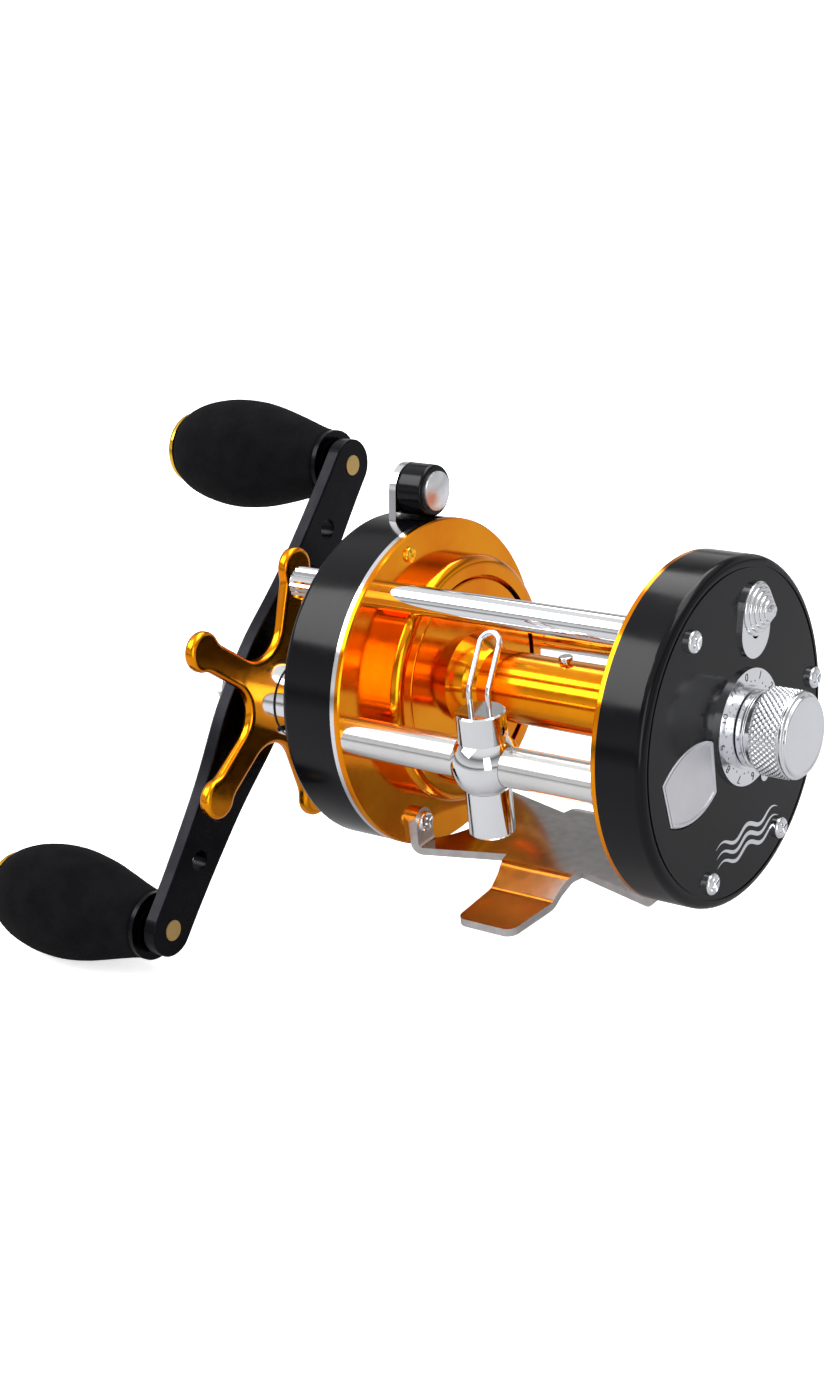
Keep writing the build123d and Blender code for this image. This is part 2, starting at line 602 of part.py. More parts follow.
with BuildPart() as idler_gear:
    with BuildSketch(Plane.YZ.offset(WIND_GEARS[0])):
        with BuildLine():
            points = gear_points(IDLER_TEETH, WIND_MODULE, IDLER, IDLER_PHASE)
            Polyline(*points, close=True)
        make_face()
    extrude(amount=WIND_GEARS[1])
    bore(handle_side(3.9), handle_side(5.7), 1.0 + RUNNING, IDLER)
save(idler_gear, "idler_gear")

YOKE_POSTS = ((SPOOL[0] + 1.8, AXIS_Z - 8.6), (SPOOL[0] + 1.8, AXIS_Z + 8.6))
with BuildPart() as gear_posts:
    disc(handle_side(PLATE_T), handle_side(6.0), 1.0, IDLER)
    disc(handle_side(6.0), handle_side(6.4), 1.5, IDLER)
    for place in YOKE_POSTS:
        disc(handle_side(PLATE_T), handle_side(10.2), 0.9, place)
        disc(handle_side(10.2), handle_side(10.8), 1.9, place)
save(gear_posts, "gear_posts")

with BuildPart() as clutch_yoke:
    with BuildSketch(Plane.YZ.offset(handle_side(5.8))):
        with Locations((SPOOL[0] + 1.8, AXIS_Z)):
            SlotOverall(21.6, 4.4, rotation=90)
        with Locations(SPOOL):
            Circle(3.6)
            with Locations((-3.0, 0)):
                Rectangle(4.2, 8.0, mode=Mode.SUBTRACT)
            Circle(2.0 + RUNNING, mode=Mode.SUBTRACT)
            with Locations((-2.0, 0)):
                Rectangle(4.0, 2 * (2.0 + RUNNING), mode=Mode.SUBTRACT)
        with Locations(*YOKE_POSTS):
            Circle(0.9 + RUNNING, mode=Mode.SUBTRACT)
    extrude(amount=0.8)
save(clutch_yoke, "clutch_yoke")

def coil_spring(radius, wire_r, pitch, length):
    """Helical spring along +Z from the origin."""
    with BuildPart() as coil:
        with BuildLine() as path:
            Helix(pitch=pitch, height=length, radius=radius)
        with BuildSketch(Plane(origin=path.line @ 0, z_dir=path.line % 0)):
            Circle(wire_r)
        sweep(path=path.line, is_frenet=True)
    return coil.part


with BuildPart() as yoke_springs:
    for place in YOKE_POSTS:
        add(Pos(handle_side(9.9), *place) * Rot(0, 90, 0) * coil_spring(1.4, 0.22, 0.8, 3.8))
save(yoke_springs, "yoke_springs")

# ---------------------------------------------------------------- crank
with BuildPart() as drive_shaft:
    disc(handle_side(1.2), handle_side(3.6), 1.5, HANDLE)
    disc(handle_side(3.6), handle_side(9.3), 2.5, HANDLE)
    disc(handle_side(9.3), handle_side(ARM[0]), 3.0, HANDLE)
    disc(handle_side(ARM[1]), handle_side(39.0), 2.6, HANDLE)
    with Locations(Location((handle_side(sum(ARM) / 2), *HANDLE), (HANDLE_ANGLE, 0, 0))):
        Box(ARM[1] - ARM[0], 5.2, 4.0)
save(drive_shaft, "drive_shaft")

with BuildPart() as drive_shaft_bearings:
    add(ball_bearing(handle_side(3.4), handle_side(1.2), HANDLE, (1.53, 2.1, 3.3, 4.0), 7))
    add(ball_bearing(handle_side(23.2), handle_side(20.3), HANDLE, (4.04, 4.5, 5.4, 6.0), 9))
save(drive_shaft_bearings, "drive_shaft_bearings")

with BuildPart() as one_way_bearing:
    add(washer(handle_side(20.0), handle_side(13.0), 6.0, 5.1, HANDLE))
    for index in range(10):
        disc(handle_side(19.4), handle_side(13.6), 0.5, polar(4.56, 36 * index, HANDLE))
save(one_way_bearing, "one_way_bearing")

with BuildPart() as one_way_sleeve:
    disc(handle_side(9.3), handle_side(24.3), 4.0, HANDLE)
    bore(handle_side(9.3), handle_side(24.3), 3.0, HANDLE)
save(one_way_sleeve, "one_way_sleeve")

with BuildPart() as drag_washers:
    for start in (7.65, 8.0, 8.35, 8.7):
        add(washer(handle_side(start), handle_side(start + 0.3), 9.3, 3.2, HANDLE))
    for start in (24.4, 25.7):
        add(washer(handle_side(start), handle_side(start + 0.8), 5.7, 3.2, HANDLE))
save(drag_washers, "drag_washers")

HUB = (24.9, 28.4)
STAR = (28.4, 30.9)
with BuildPart() as star_hub:
    disc(handle_side(HUB[0]), handle_side(HUB[1]), 7.15, HANDLE)
    bore(handle_side(HUB[0]), handle_side(27.0), 6.05, HANDLE)
    bore(handle_side(27.0), handle_side(HUB[1]), 3.0 + RUNNING, HANDLE)
save(star_hub, "star_hub")

STAR_ARMS = 5
STAR_PHASE = -4.0
STAR_TIP = 23.6
with BuildPart() as star_drag:
    with BuildSketch(Plane.YZ.offset(handle_side(STAR[1]))) as star_face:
        with Locations(Location((*HANDLE, 0), (0, 0, STAR_PHASE))):
            with PolarLocations(0, STAR_ARMS):
                with Locations((STAR_TIP / 2, 0)):
                    Rectangle(STAR_TIP, 5.4)
        valleys = star_face.vertices().filter_by(
            lambda v: hypot(v.X - HANDLE[0], v.Y - HANDLE[1]) < 12
        )
        fillet(valleys, 6.2)
        with Locations(Location((*HANDLE, 0), (0, 0, STAR_PHASE))):
            with PolarLocations(STAR_TIP, STAR_ARMS):
                Circle(3.7)
        necks = star_face.vertices().filter_by(
            lambda v: 12 < hypot(v.X - HANDLE[0], v.Y - HANDLE[1]) < STAR_TIP
        )
        fillet(necks, 4.0)
    extrude(amount=STAR[1] - STAR[0])
    rim = star_drag.edges().group_by(Axis.X)
    fillet(rim[0] + rim[-1], 1.0)
    bore(handle_side(STAR[0]), handle_side(STAR[1]), 3.0 + RUNNING, HANDLE)
save(star_drag, "star_drag")


def along_arm(distance, across=0.0):
    """(y, z) of a point along the handle arm from its axis, and across it."""
    turn = radians(HANDLE_ANGLE)
    y = HANDLE[0] + distance * cos(turn) - across * sin(turn)
    return (y, HANDLE[1] + distance * sin(turn) + across * cos(turn))


ARM_END_R = 4.9
ARM_HALF_WIDTHS = ((0, 8.2), (8, 7.9), (14, 7.0), (21, 6.0), (29, 5.4), (38, 5.0), (HANDLE_HALF, ARM_END_R))
ARM_HOLES = (-33.5, -24.0, 24.0, 33.5)
with BuildPart() as handle_arm:
    with BuildSketch(Plane.YZ.offset(handle_side(ARM[1]))):
        with BuildLine():
            upper = [(-x, w) for x, w in reversed(ARM_HALF_WIDTHS[1:])] + list(ARM_HALF_WIDTHS)
            lower = [(x, -w) for x, w in reversed(upper)]
            Spline(*[along_arm(x, w) for x, w in upper])
            ThreePointArc(
                along_arm(*upper[-1]), along_arm(HANDLE_HALF + ARM_END_R), along_arm(*lower[0])
            )
            Spline(*[along_arm(x, w) for x, w in [(x, -w) for x, w in reversed(upper)]])
            ThreePointArc(
                along_arm(-HANDLE_HALF, -ARM_END_R), along_arm(-HANDLE_HALF - ARM_END_R), along_arm(*upper[0])
            )
        make_face()
    extrude(amount=ARM[1] - ARM[0])
    chamfer(handle_arm.edges().group_by(Axis.X)[0], 0.7)
    fillet(handle_arm.edges().group_by(Axis.X)[-1], 0.3)
    for distance in ARM_HOLES:
        bore(handle_side(ARM[0]), handle_side(ARM[1]), 1.9, along_arm(distance))
    for distance in (-HANDLE_HALF, HANDLE_HALF):
        bore(handle_side(ARM[0]), handle_side(ARM[1]), SPINDLE_R, along_arm(distance))
    with Locations(Location((handle_side(sum(ARM) / 2), *HANDLE), (HANDLE_ANGLE, 0, 0))):
        Box(ARM[1] - ARM[0] + 2, 5.2, 4.0, mode=Mode.SUBTRACT)
save(handle_arm, "handle_arm")

with BuildPart() as handle_nut:
    disc(handle_side(ARM[1]), handle_side(37.6), 7.0, HANDLE)
    with BuildSketch(Plane.YZ.offset(handle_side(40.2))):
        with Locations(HANDLE):
            RegularPolygon(5.8, 6, rotation=HANDLE_ANGLE)
    extrude(amount=2.6)
    chamfer(handle_nut.edges().group_by(Axis.X)[0], 0.5)
    bore(handle_side(ARM[1]), handle_side(39.0), 2.6, HANDLE)
save(handle_nut, "handle_nut")

with BuildPart() as knob_spindles:
    for distance in (-HANDLE_HALF, HANDLE_HALF):
        disc(handle_side(ARM[0] - 0.15), handle_side(ARM[1]), SPINDLE_R, along_arm(distance))
        disc(handle_side(ARM[1]), handle_side(KNOB_END - 4.0), 2.0, along_arm(distance))
save(knob_spindles, "knob_spindles")

# distance out from the handle-side plate, radius
GRIP_PROFILE = (
    (38.0, 6.1), (41.4, 7.0), (47.4, 8.8), (53.4, 10.2), (58.4, 10.7), (63.4, 10.5), (68.4, 9.2),
    (73.0, 6.9),
)
for name, distance in (("upper", HANDLE_HALF), ("lower", -HANDLE_HALF)):
    centre = along_arm(distance)
    with BuildPart() as grip:
        with BuildSketch(profile_plane(centre)):
            with BuildLine():
                outline = [(handle_side(d), r) for d, r in GRIP_PROFILE]
                Spline(*outline)
                Polyline(
                    outline[-1], (outline[-1][0], 2.0 + RUNNING), (outline[0][0], 2.0 + RUNNING),
                    outline[0],
                )
            make_face()
        revolve(axis=turning_axis(centre))
    save(grip, f"{name}_grip")

    with BuildPart() as grip_collar:
        disc(handle_side(36.5), handle_side(37.1), 5.0, centre)
        disc(handle_side(37.1), handle_side(38.0), 6.3, centre)
        bore(handle_side(36.5), handle_side(38.0), 2.0 + RUNNING, centre)
    save(grip_collar, f"{name}_grip_collar")

    with BuildPart() as grip_cap:
        disc(handle_side(KNOB_END - 1.4), handle_side(KNOB_END), 6.9, centre)
        fillet(grip_cap.edges().group_by(Axis.X)[0], 1.0)
    save(grip_cap, f"{name}_grip_cap")

# ---------------------------------------------------------------- level wind
with BuildPart() as worm_shaft:
    disc(-21.6, 21.6, 2.3, TUBE)
    disc(handle_side(6.2), -21.6, 1.2, TUBE)
    disc(21.6, tail_side(-0.4), 1.2, TUBE)
save(worm_shaft, "worm_shaft")

with BuildPart() as worm_bushings:
    for x0, x1 in ((handle_side(0), handle_side(-3)), (tail_side(-3), tail_side(0))):
        add(washer(x0, x1, TUBE_BORE_R, 1.2 + RUNNING, TUBE))
save(worm_bushings, "worm_bushings")

with BuildPart() as worm_gear:
    with BuildSketch(Plane.YZ.offset(WIND_GEARS[0])):
        with BuildLine():
            Polyline(*gear_points(WORM_TEETH, WIND_MODULE, TUBE, WORM_PHASE), close=True)
        make_face()
    extrude(amount=WIND_GEARS[1])
    bore(handle_side(3.9), handle_side(5.7), 1.2, TUBE)
save(worm_gear, "worm_gear")

BALL_R = 5.9
POST_R = 4.2
CAP_R = 3.9
LOOP_HALF_WIDTH = 1.9     # between the loop's two legs, to their middles
LOOP_WIRE_R = 0.5
with BuildPart() as line_guide:
    with Locations((GUIDE_X, *TUBE)):
        Sphere(BALL_R)
        Cylinder(POST_R, 9.2, align=(Align.CENTER, Align.CENTER, Align.MIN))
        Cylinder(2.6, 9.4, align=(Align.CENTER, Align.CENTER, Align.MAX))
    chamfer(line_guide.edges().group_by(Axis.Z)[-1], 0.25)
    with Locations((GUIDE_X, TUBE[0] + CAP_R, TUBE[1] - 6.4)):
        Box(3.0, 1.2, 6.0)
    bore(GUIDE_X - 8, GUIDE_X + 8, TUBE_R + RUNNING, TUBE)
    with Locations((GUIDE_X, TUBE[0], TUBE[1])):
        Cylinder(1.1 + RUNNING, 12, align=(Align.CENTER, Align.CENTER, Align.MAX), mode=Mode.SUBTRACT)
    for side in (-1, 1):
        with Locations((GUIDE_X + side * LOOP_HALF_WIDTH, TUBE[0], TUBE[1] + 9.2)):
            Cylinder(LOOP_WIRE_R, 6.0, mode=Mode.SUBTRACT)
    disc(GUIDE_X, GUIDE_X + POST_R, 0.7, (TUBE[0], TUBE[1] + 6.2), Mode.SUBTRACT)
save(line_guide, "line_guide")

with BuildPart() as guide_loop:
    base_z = TUBE[1] + 6.3
    bend = (TUBE[0], TUBE[1] + 12.6)
    lean = Vector(0, 4.3, 6.6)
    with BuildLine() as wire:
        left_foot = (GUIDE_X - LOOP_HALF_WIDTH, TUBE[0], base_z)
        left_bend = Vector(GUIDE_X - LOOP_HALF_WIDTH, *bend)
        right_foot = (GUIDE_X + LOOP_HALF_WIDTH, TUBE[0], base_z)
        right_bend = Vector(GUIDE_X + LOOP_HALF_WIDTH, *bend)
        tip = Vector(GUIDE_X, *bend) + lean + lean.normalized() * LOOP_HALF_WIDTH
        FilletPolyline(left_foot, left_bend, left_bend + lean, radius=3.0)
        ThreePointArc(left_bend + lean, tip, right_bend + lean)
        FilletPolyline(right_bend + lean, right_bend, right_foot, radius=3.0)
    with BuildSketch(Plane(origin=left_foot, z_dir=(0, 0, 1))):
        Circle(LOOP_WIRE_R)
    sweep(path=wire.line)
save(guide_loop, "guide_loop")

with BuildPart() as level_wind_pawl:
    with Locations((GUIDE_X, TUBE[0], TUBE[1] - 9.6)):
        Cylinder(1.1, 7.2, align=(Align.CENTER, Align.CENTER, Align.MIN))
        Cylinder(2.2, 1.1, align=(Align.CENTER, Align.CENTER, Align.MAX))
save(level_wind_pawl, "level_wind_pawl")

with BuildPart() as pawl_cap:
    with Locations((GUIDE_X, TUBE[0], TUBE[1] - 12.6)):
        Cylinder(CAP_R, 8.4, align=(Align.CENTER, Align.CENTER, Align.MIN))
    chamfer(pawl_cap.edges().group_by(Axis.Z)[0], 0.4)
    with Locations((GUIDE_X, TUBE[0], TUBE[1] - 11.0)):
        Cylinder(2.6, 9.0, align=(Align.CENTER, Align.CENTER, Align.MIN), mode=Mode.SUBTRACT)
    with Locations((GUIDE_X, *TUBE)):
        Sphere(BALL_R + 0.02, mode=Mode.SUBTRACT)
    with Locations((GUIDE_X, TUBE[0] + CAP_R, TUBE[1] - 6.0)):
        Box(3.1, 1.3, 9.0, mode=Mode.SUBTRACT)
save(pawl_cap, "pawl_cap")

# ---------------------------------------------------------------- free-spool button
BUTTON = polar(*BUTTON_POLAR)
with BuildPart() as free_spool_button:
    disc(BUTTON_X[0], BUTTON_X[1], 4.6, BUTTON)
    fillet(free_spool_button.edges().filter_by(GeomType.CIRCLE), 0.6)
save(free_spool_button, "free_spool_button")

with BuildPart() as button_cap:
    with Locations((BUTTON_X[0], *BUTTON)):
        Cylinder(3.5, 0.5, rotation=(0, 90, 0), align=(Align.CENTER, Align.CENTER, Align.MIN))
    dome = 1.1
    ball_r = (3.5**2 + dome**2) / (2 * dome)
    with BuildSketch(profile_plane(BUTTON)):
        with BuildLine():
            Line((BUTTON_X[0] + 0.5, 0), (BUTTON_X[0] + 0.5, 3.5))
            RadiusArc((BUTTON_X[0] + 0.5, 3.5), (BUTTON_X[0] + 0.5 + dome, 0), ball_r)
            Line((BUTTON_X[0] + 0.5 + dome, 0), (BUTTON_X[0] + 0.5, 0))
        make_face()
    revolve(axis=turning_axis(BUTTON))
save(button_cap, "button_cap")

with BuildPart() as button_lever:
    disc(LEVER_X[0], LEVER_X[1], 4.6, BUTTON)
    for reach, length, width in ((31.4, 6.0, 9.2), (21.5, 15.0, 5.0)):
        place = Location((sum(LEVER_X) / 2, *polar(reach, BUTTON_POLAR[1])), (BUTTON_POLAR[1] - 90, 0, 0))
        with Locations(place):
            Box(LEVER_X[0] - LEVER_X[1], width, length)
save(button_lever, "button_lever")

# ---------------------------------------------------------------- tail plate controls
with BuildPart() as clicker_slot_plate:
    clicker_slot(TAIL_FACE, TAIL_FACE + 0.6, 4.6, Mode.ADD)
    clicker_slot(TAIL_FACE, TAIL_FACE + 0.6, 1.3, Mode.SUBTRACT)
save(clicker_slot_plate, "clicker_slot_plate")

CLICKER = polar(CLICKER_REACH, CLICKER_ANGLE, SPOOL)
with BuildPart() as clicker_button:
    disc(tail_side(5.6), TAIL_FACE + 0.7, 1.2, CLICKER)
    for step, radius in enumerate((4.5, 3.8, 3.1, 2.4, 1.7, 1.0)):
        start = TAIL_FACE + 0.65 + 0.5 * step
        disc(start, start + 0.55, radius, CLICKER)
save(clicker_button, "clicker_button")

with BuildPart() as click_pawl:
    middle = polar((CLICKER_REACH + 1.5 + 8.6) / 2, CLICKER_ANGLE, SPOOL)
    with Locations(Location((tail_side(4.9), *middle), (CLICKER_ANGLE, 0, 0))):
        Box(1.4, CLICKER_REACH + 1.5 - 8.6, 2.4)
        with Locations((0, -(CLICKER_REACH + 1.5 - 8.6) / 2, 0)):
            Box(1.4, 1.6, 0.8, align=(Align.CENTER, Align.MIN, Align.CENTER))
    chamfer(click_pawl.edges().filter_by(Axis.X), 0.3)
save(click_pawl, "click_pawl")

with BuildPart() as dial_plate:
    disc(TAIL_FACE, TAIL_FACE + 0.7, 9.9, SPOOL)
    disc(TAIL_FACE, TAIL_FACE + 0.7, 1.3, polar(10.9, -68, SPOOL))
    disc(TAIL_FACE, TAIL_FACE + 1.4, 7.0, SPOOL)
    bore(TAIL_FACE, TAIL_FACE + 1.4, 5.6, SPOOL)
save(dial_plate, "dial_plate")

with BuildPart() as tension_knob:
    disc(tail_side(11.1), tail_side(14.0), 6.5, SPOOL)
    disc(tail_side(14.0), tail_side(19.2), 7.5, SPOOL)
    disc(tail_side(19.2), tail_side(19.9), 7.2, SPOOL)
    disc(tail_side(19.9), tail_side(20.6), 6.8, SPOOL)
    chamfer(tension_knob.edges().group_by(Axis.X)[-1], 0.3)
    bore(tail_side(11.1), tail_side(17.0), 5.6 + RUNNING, SPOOL)
save(tension_knob, "tension_knob")

with BuildPart() as housing_seal:
    disc(handle_side(24.3), handle_side(24.8), 6.9, HANDLE)
    bore(handle_side(24.3), handle_side(24.8), 6.0, HANDLE)
save(housing_seal, "housing_seal")
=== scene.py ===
"""Looks of the round level-wind trolling reel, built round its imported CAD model. Metres, same frame."""

import json
from math import cos, pi, radians, sin, tau

import bpy
from mathutils import Matrix, Vector, noise


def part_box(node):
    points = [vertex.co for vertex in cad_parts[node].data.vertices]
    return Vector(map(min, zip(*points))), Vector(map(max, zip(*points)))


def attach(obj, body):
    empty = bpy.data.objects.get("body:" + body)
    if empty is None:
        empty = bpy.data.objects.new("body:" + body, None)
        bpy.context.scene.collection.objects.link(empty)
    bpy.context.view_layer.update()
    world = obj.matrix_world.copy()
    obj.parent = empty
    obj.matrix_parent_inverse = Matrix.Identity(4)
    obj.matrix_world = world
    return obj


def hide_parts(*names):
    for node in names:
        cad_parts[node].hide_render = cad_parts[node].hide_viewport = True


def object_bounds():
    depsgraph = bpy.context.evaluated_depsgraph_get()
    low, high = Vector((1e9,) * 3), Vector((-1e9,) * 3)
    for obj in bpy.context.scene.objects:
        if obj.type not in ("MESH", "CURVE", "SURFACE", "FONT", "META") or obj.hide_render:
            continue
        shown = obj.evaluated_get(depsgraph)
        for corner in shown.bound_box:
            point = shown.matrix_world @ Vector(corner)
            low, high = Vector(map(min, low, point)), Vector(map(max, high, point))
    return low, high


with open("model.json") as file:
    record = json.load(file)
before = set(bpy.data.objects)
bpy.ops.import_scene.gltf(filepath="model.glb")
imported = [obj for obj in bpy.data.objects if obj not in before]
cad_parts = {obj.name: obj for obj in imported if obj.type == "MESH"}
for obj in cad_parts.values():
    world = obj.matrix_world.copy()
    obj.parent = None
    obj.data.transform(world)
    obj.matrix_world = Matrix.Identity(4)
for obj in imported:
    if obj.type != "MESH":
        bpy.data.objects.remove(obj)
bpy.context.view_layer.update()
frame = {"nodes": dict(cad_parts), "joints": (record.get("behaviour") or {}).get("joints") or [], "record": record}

MM = 0.001
JOINTS = {joint["name"]: joint for joint in frame["joints"]}
NODES = frame["nodes"]


def pivot(joint):
    """(y, z) of a joint that turns about X."""
    return Vector(JOINTS[joint]["pos_m"]).yz


def middle(node):
    low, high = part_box(node)
    return (low + high) / 2


HANDLE = pivot("crank_turn")
SPOOL = pivot("spool_spin")
PLATE = middle("handle_side_plate").yz
TAIL_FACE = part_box("badge_plate")[1].x - 0.2 * MM


# ---------------------------------------------------------------- materials
class Finish:
    """A procedural material, built up one layer at a time on a Principled shader."""

    def __init__(self, name, colour, metallic=0.0, roughness=0.4, **sockets):
        self.material = bpy.data.materials.new(name)
        self.material.use_nodes = True
        self.nodes = self.material.node_tree.nodes
        self.links = self.material.node_tree.links
        self.shader = self.nodes["Principled BSDF"]
        self.set("Base Color", (*colour, 1))
        self.set("Metallic", metallic)
        self.set("Roughness", roughness)
        for socket, value in sockets.items():
            self.set(socket.replace("_", " "), value)
        self.place = self.nodes.new("ShaderNodeTexCoord").outputs["Object"]
        self.height = None

    def set(self, socket, value):
        self.shader.inputs[socket].default_value = value

    def node(self, kind, inputs=(), **settings):
        made = self.nodes.new(kind)
        for key, value in settings.items():
            setattr(made, key, value)
        for key, value in dict(inputs).items():
            if isinstance(value, bpy.types.NodeSocket):
                self.links.new(value, made.inputs[key])
            else:
                made.inputs[key].default_value = value
        return made

    def noise(self, per_metre, detail=4.0, stretch=(1, 1, 1), rough=0.55):
        """Noise over the object's own coordinates; stretch scales it along each axis."""
        mapped = self.node("ShaderNodeMapping", {"Vector": self.place, "Scale": stretch})
        made = self.node(
            "ShaderNodeTexNoise",
            {"Vector": mapped.outputs[0], "Scale": per_metre, "Detail": detail, "Roughness": rough},
        )
        return made.outputs[0]

    def turned(self, centre, per_metre):
        """Rings of a lathe tool round an axis along X."""
        flat = self.node("ShaderNodeVectorMath", {0: self.place, 1: (0, 1, 1)}, operation="MULTIPLY")
        radius = self.node(
            "ShaderNodeVectorMath", {0: flat.outputs[0], 1: (0, *centre)}, operation="DISTANCE"
        )
        rings = self.node(
            "ShaderNodeTexNoise", {"W": radius.outputs["Value"], "Scale": per_metre, "Detail": 3.0},
            noise_dimensions="1D",
        )
        return rings.outputs[0]

    def spread(self, value, low, high, start=0.3, end=0.7):
        """Maps a texture's value to a range."""
        made = self.node(
            "ShaderNodeMapRange",
            {"Value": value, "From Min": start, "From Max": end, "To Min": low, "To Max": high},
        )
        return made.outputs[0]

    def roughness(self, value, low, high, start=0.3, end=0.7):
        self.links.new(self.spread(value, low, high, start, end), self.shader.inputs["Roughness"])
        return self

    def colours(self, value, first, second, start=0.35, end=0.65):
        """Blends the base colour between two colours by a texture's value."""
        mix = self.node("ShaderNodeMix", {"Factor": self.spread(value, 0, 1, start, end)}, data_type="RGBA")
        mix.inputs[6].default_value = (*first, 1)
        mix.inputs[7].default_value = (*second, 1)
        self.links.new(mix.outputs[2], self.shader.inputs["Base Color"])
        return self

    def bump(self, value, depth, strength=1.0):
        """Adds relief of a depth in metres under what is there already."""
        made = self.node("ShaderNodeBump", {"Height": value, "Strength": strength, "Distance": depth})
        if self.height is not None:
            self.links.new(self.height, made.inputs["Normal"])
        self.height = made.outputs[0]
        self.links.new(self.height, self.shader.inputs["Normal"])
        return self


def anodised(name, colour, shade, rough=(0.10, 0.17), centre=None):
    """Polished, dyed aluminium: faint mottling of the dye and, on turned parts, the lathe's rings."""
    made = Finish(name, colour, metallic=1.0)
    made.colours(made.noise(90, 5), shade, colour)
    made.roughness(made.noise(420, 6), *rough)
    if centre is not None:
        made.bump(made.turned(centre, 5200), 0.0000035, 0.35)
    made.bump(made.noise(2600, 2), 0.0000012, 0.4)
    return made.material


def brushed(name, colour, rough=(0.2, 0.34), stretch=(0.02, 1, 1), per_metre=5200, depth=0.5):
    """Metal with brush marks along the axis whose stretch is small."""
    made = Finish(name, colour, metallic=1.0)
    marks = made.noise(per_metre, 3, stretch)
    made.roughness(marks, *rough)
    made.colours(made.noise(120, 4), tuple(0.93 * c for c in colour), colour)
    made.bump(marks, 0.000002, depth)
    return made.material


def plated(name, colour, rough=(0.03, 0.08)):
    """Bright plating with faint polishing marks and fingerprints."""
    made = Finish(name, colour, metallic=1.0)
    made.roughness(made.noise(160, 6), *rough)
    made.colours(made.noise(60, 3), tuple(0.94 * c for c in colour), colour)
    made.bump(made.noise(3000, 2), 0.0000006, 0.4)
    return made.material


def lathe_turned(name, colour, rough=(0.1, 0.18), centre=None):
    """Polished metal that keeps the fine rings of the lathe round its axis."""
    made = Finish(name, colour, metallic=1.0)
    rings = made.turned(centre, 3200)
    made.roughness(rings, *rough)
    made.colours(made.noise(90, 3), tuple(0.95 * c for c in colour), colour)
    made.bump(rings, 0.0000015, 0.2)
    return made.material


def lacquer(name, colour, rough=(0.11, 0.17)):
    """Black paint with slight orange peel and faint mottling."""
    made = Finish(name, colour, metallic=0.0, Specular_IOR_Level=0.2)
    made.roughness(made.noise(300, 7), *rough)
    made.colours(made.noise(900, 2), colour, tuple(1.6 * c for c in colour), 0.6, 0.85)
    made.bump(made.noise(500, 2), 0.000004, 0.12)
    return made.material


def foam(name):
    """Matt closed-cell foam: fine skinned pores and a soft nap."""
    made = Finish(
        name, (0.003, 0.003, 0.0036), roughness=0.9, Sheen_Weight=0.006, Sheen_Roughness=0.5,
        Specular_IOR_Level=0.05,
    )
    pores = made.node(
        "ShaderNodeTexVoronoi", {"Vector": made.place, "Scale": 3400.0, "Randomness": 1.0}
    ).outputs["Distance"]
    grain = made.noise(5200, 3)
    made.colours(made.noise(240, 5), (0.0024, 0.0024, 0.003), (0.0042, 0.0042, 0.005))
    made.roughness(grain, 0.8, 1.0)
    made.bump(pores, 0.00005, 0.5)
    made.bump(grain, 0.00003, 0.5)
    return made.material


def moulded(name, colour, rough=(0.4, 0.55)):
    """Moulded plastic or rubber with a fine spark-eroded grain."""
    made = Finish(name, colour)
    made.roughness(made.noise(900, 4), *rough)
    made.colours(made.noise(200, 3), tuple(0.85 * c for c in colour), colour)
    made.bump(made.noise(2400, 3), 0.00001, 0.4)
    return made.material


def carbon(name):
    """Woven carbon fibre of the drag washers."""
    made = Finish(name, (0.03, 0.03, 0.032), roughness=0.45)
    weave = made.node(
        "ShaderNodeTexChecker",
        {"Vector": made.place, "Scale": 900.0, "Color1": (0, 0, 0, 1), "Color2": (1, 1, 1, 1)},
    ).outputs["Fac"]
    made.colours(weave, (0.012, 0.012, 0.013), (0.05, 0.05, 0.052), 0, 1)
    made.bump(weave, 0.00003, 0.6)
    return made.material


def sheet_steel(name):
    """Polished stainless sheet whose sheared edges are matt and grained."""
    made = Finish(name, (0.46, 0.44, 0.43), metallic=1.0)
    facing = made.node("ShaderNodeNewGeometry").outputs["Normal"]
    split = made.node("ShaderNodeSeparateXYZ", {"Vector": facing})
    flat = made.node("ShaderNodeMath", {0: split.outputs["Z"]}, operation="ABSOLUTE").outputs[0]
    face = made.spread(flat, 0, 1, 0.3, 0.75)
    made.roughness(face, 0.42, 0.14, 0, 1)
    made.colours(made.noise(500, 5), (0.52, 0.5, 0.49), (0.62, 0.6, 0.59))
    made.bump(made.noise(1400, 3, (1, 0.25, 1)), 0.000003, 0.12)
    return made.material


